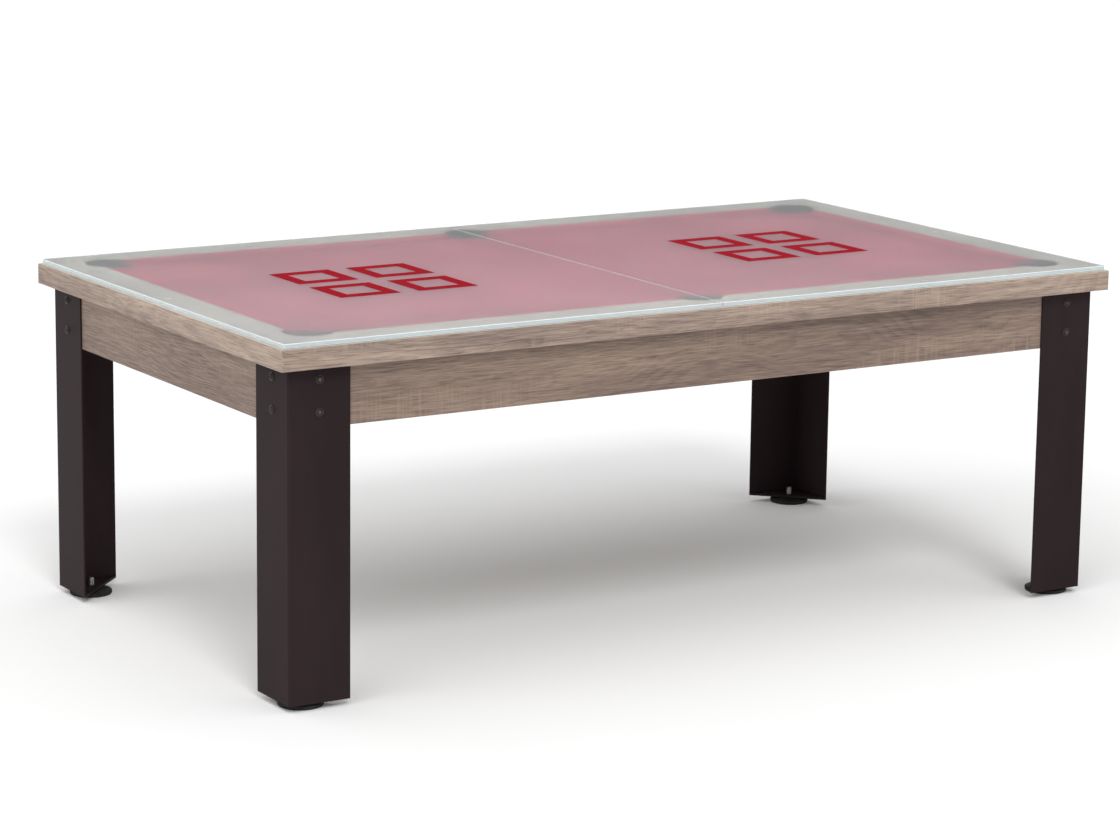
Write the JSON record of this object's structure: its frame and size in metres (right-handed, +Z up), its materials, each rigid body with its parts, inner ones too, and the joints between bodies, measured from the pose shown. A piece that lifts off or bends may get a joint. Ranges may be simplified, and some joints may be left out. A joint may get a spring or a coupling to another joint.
{
  "type": "convertible pool table",
  "caption": "Rectangular slate pool table on steel angle legs; lift-off frosted glass halves over the rails, cushions and pockets turn it into a dining table.",
  "frame": {"origin": "on the floor under the middle of the table", "axes": "+X along the table to the right as pictured, +Y to the back, +Z up"},
  "size_m": [2.2, 1.25, 0.8],
  "materials": {
    "oak_laminate": "matt embossed grey-brown oak laminate",
    "bearer_timber": "planed softwood",
    "slate": "honed slate",
    "bed_cloth": "napless woven pool cloth",
    "cushion_rubber": "moulded cushion rubber",
    "cushion_cloth": "napless woven pool cloth",
    "pocket_plastic": "moulded black plastic",
    "frosted_glass": "frosted toughened glass with polished edges",
    "clear_pad": "clear soft pad",
    "leg_paint": "satin dark bronze powder coat",
    "black_steel": "black oxide",
    "zinc_steel": "bright zinc",
    "foot_rubber": "black moulded rubber"
  },
  "bodies": {
    "table": {"apron_back": "oak_laminate", "apron_front": "oak_laminate", "apron_left": "oak_laminate", "apron_right": "oak_laminate", "bed_cloth": "bed_cloth", "corner_blocks": "bearer_timber", "cross_beam_inner_left": "bearer_timber", "cross_beam_inner_right": "bearer_timber", "cross_beam_outer_left": "bearer_timber", "cross_beam_outer_right": "bearer_timber", "cushion_back_left": "cushion_cloth", "cushion_back_right": "cushion_cloth", "cushion_front_left": "cushion_cloth", "cushion_front_right": "cushion_cloth", "cushion_left": "cushion_cloth", "cushion_right": "cushion_cloth", "cushion_rubbers": "cushion_rubber", "glass_pads": "clear_pad", "ledgers_end": "bearer_timber", "ledgers_long": "bearer_timber", "leg_back_left": "leg_paint", "leg_back_right": "leg_paint", "leg_base_back_left": "leg_paint", "leg_base_back_right": "leg_paint", "leg_base_front_left": "leg_paint", "leg_base_front_right": "leg_paint", "leg_front_left": "leg_paint", "leg_front_right": "leg_paint", "leg_inserts": "zinc_steel", "leg_screws": "black_steel", "pocket_cup_back": "pocket_plastic", "pocket_cup_back_left": "pocket_plastic", "pocket_cup_back_right": "pocket_plastic", "pocket_cup_front": "pocket_plastic", "pocket_cup_front_left": "pocket_plastic", "pocket_cup_front_right": "pocket_plastic", "pocket_liner_back": "pocket_plastic", "pocket_liner_back_left": "pocket_plastic", "pocket_liner_back_right": "pocket_plastic", "pocket_liner_front": "pocket_plastic", "pocket_liner_front_left": "pocket_plastic", "pocket_liner_front_right": "pocket_plastic", "rail_back": "oak_laminate", "rail_bolts": "zinc_steel", "rail_front": "oak_laminate", "rail_left": "oak_laminate", "rail_right": "oak_laminate", "slate_bed": "slate"},
    "glass_left": {"glass_left": "frosted_glass"},
    "glass_right": {"glass_right": "frosted_glass"},
    "foot_pad_front_left": {"foot_pad_front_left": "foot_rubber"},
    "foot_stud_front_left": {"foot_stud_front_left": "zinc_steel"},
    "foot_pad_front_right": {"foot_pad_front_right": "foot_rubber"},
    "foot_stud_front_right": {"foot_stud_front_right": "zinc_steel"},
    "foot_pad_back_left": {"foot_pad_back_left": "foot_rubber"},
    "foot_stud_back_left": {"foot_stud_back_left": "zinc_steel"},
    "foot_pad_back_right": {"foot_pad_back_right": "foot_rubber"},
    "foot_stud_back_right": {"foot_stud_back_right": "zinc_steel"}
  },
  "joints": [
    {"name": "glass_left_lift", "type": "slide", "parent": "table", "child": "glass_left", "axis": [0, 0, 1], "range_m": [0, 0.3]},
    {"name": "glass_right_lift", "type": "slide", "parent": "table", "child": "glass_right", "axis": [0, 0, 1], "range_m": [0, 0.3]},
    {"name": "foot_front_left_slide", "type": "slide", "parent": "table", "child": "foot_pad_front_left", "axis": [0, 0, -1], "range_m": [0, 0.015]},
    {"name": "foot_front_left_turn", "type": "hinge", "parent": "foot_pad_front_left", "child": "foot_stud_front_left", "pos_m": [-1.014, -0.539, 0.02], "axis": [0, 0, -1], "range_deg": [0, 2700]},
    {"name": "foot_front_right_slide", "type": "slide", "parent": "table", "child": "foot_pad_front_right", "axis": [0, 0, -1], "range_m": [0, 0.015]},
    {"name": "foot_front_right_turn", "type": "hinge", "parent": "foot_pad_front_right", "child": "foot_stud_front_right", "pos_m": [1.014, -0.539, 0.02], "axis": [0, 0, -1], "range_deg": [0, 2700]},
    {"name": "foot_back_left_slide", "type": "slide", "parent": "table", "child": "foot_pad_back_left", "axis": [0, 0, -1], "range_m": [0, 0.015]},
    {"name": "foot_back_left_turn", "type": "hinge", "parent": "foot_pad_back_left", "child": "foot_stud_back_left", "pos_m": [-1.014, 0.539, 0.02], "axis": [0, 0, -1], "range_deg": [0, 2700]},
    {"name": "foot_back_right_slide", "type": "slide", "parent": "table", "child": "foot_pad_back_right", "axis": [0, 0, -1], "range_m": [0, 0.015]},
    {"name": "foot_back_right_turn", "type": "hinge", "parent": "foot_pad_back_right", "child": "foot_stud_back_right", "pos_m": [1.014, 0.539, 0.02], "axis": [0, 0, -1], "range_deg": [0, 2700]}
  ],
  "couplings": [
    {"joint": "foot_front_left_turn", "follows": "foot_front_left_slide", "rad_per_m": 3141.6},
    {"joint": "foot_front_right_turn", "follows": "foot_front_right_slide", "rad_per_m": 3141.6},
    {"joint": "foot_back_left_turn", "follows": "foot_back_left_slide", "rad_per_m": 3141.6},
    {"joint": "foot_back_right_turn", "follows": "foot_back_right_slide", "rad_per_m": 3141.6}
  ]
}
